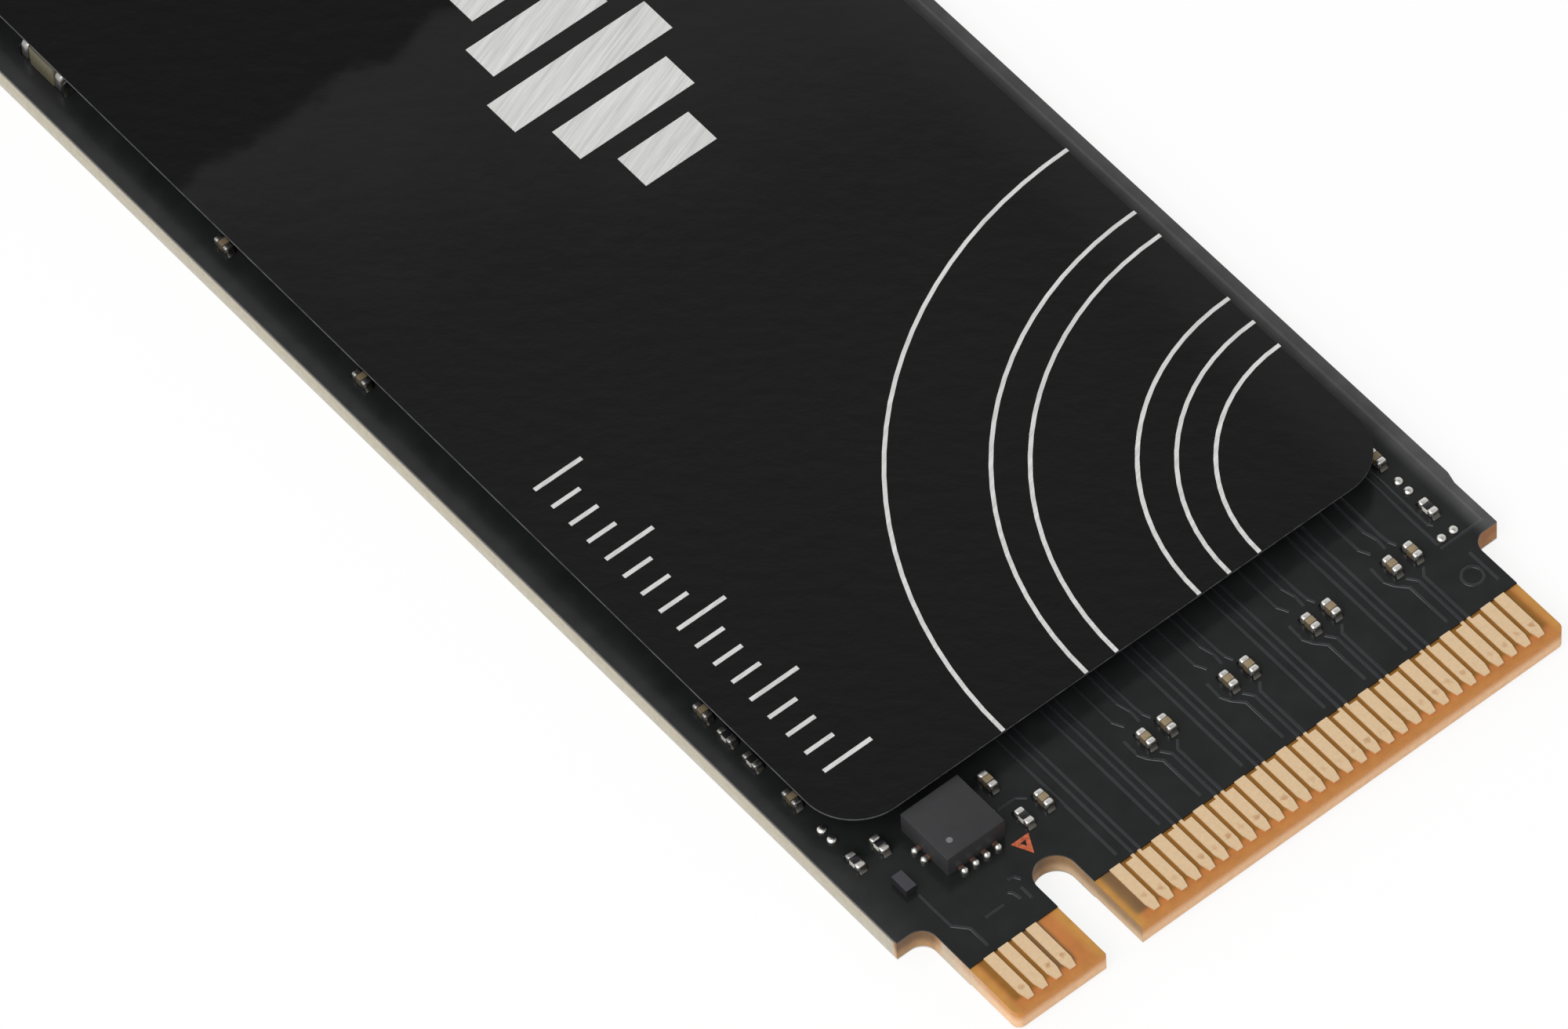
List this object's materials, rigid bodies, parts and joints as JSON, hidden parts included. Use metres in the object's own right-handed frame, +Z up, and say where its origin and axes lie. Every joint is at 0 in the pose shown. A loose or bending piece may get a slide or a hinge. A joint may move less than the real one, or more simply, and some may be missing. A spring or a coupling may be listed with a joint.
{
  "type": "m.2 solid state drive",
  "caption": "Slim plug-in solid state drive board with a keyed edge connector, a half-round screw notch and a black label over its packages.",
  "frame": {"origin": "centre of the underside, on the plane it lies on", "axes": "+Y along the board from the edge connector to the screw notch, +X across it, +Z up through the label"},
  "size_m": [0.022, 0.08, 0.0018],
  "materials": {
    "laminate": "satin glass-epoxy laminate",
    "solder_mask": "semi-gloss black solder mask",
    "gold_plating": "pale matte gold plating",
    "tin": "bright tin and solder",
    "moulded_black": "matte moulded epoxy",
    "inductor_grey": "pressed grey powder core",
    "ceramic_brown": "fired brown ceramic",
    "resistor_black": "glazed black resistor",
    "crystal_can": "plated metal lid on ceramic",
    "orange_print": "orange ink",
    "label_film": "black satin film",
    "silver_print": "thin brushed silver foil"
  },
  "bodies": {
    "root": {"circuit_board": "laminate", "solder_mask_top": "solder_mask", "solder_mask_bottom": "solder_mask", "signal_traces": "solder_mask", "edge_contacts_top": "gold_plating", "edge_contacts_bottom": "gold_plating", "screw_pads": "gold_plating", "controller_package": "moulded_black", "buffer_memory_package": "moulded_black", "flash_package_1": "moulded_black", "flash_package_2": "moulded_black", "power_chip": "moulded_black", "power_inductors": "inductor_grey", "clock_crystal": "crystal_can", "load_switch_chip": "moulded_black", "load_switch_leads": "tin", "lane_capacitor_bodies": "ceramic_brown", "lane_capacitor_terminals": "tin", "capacitor_bodies": "ceramic_brown", "capacitor_terminals": "tin", "bulk_capacitor_body": "ceramic_brown", "bulk_capacitor_terminals": "tin", "resistor_bodies": "resistor_black", "resistor_terminals": "tin", "solder_fillets": "tin", "pad_solder": "tin", "protection_diode": "moulded_black", "key_mark": "orange_print", "label": "label_film", "label_stripes": "silver_print", "label_bars": "silver_print"}
  },
  "joints": []
}
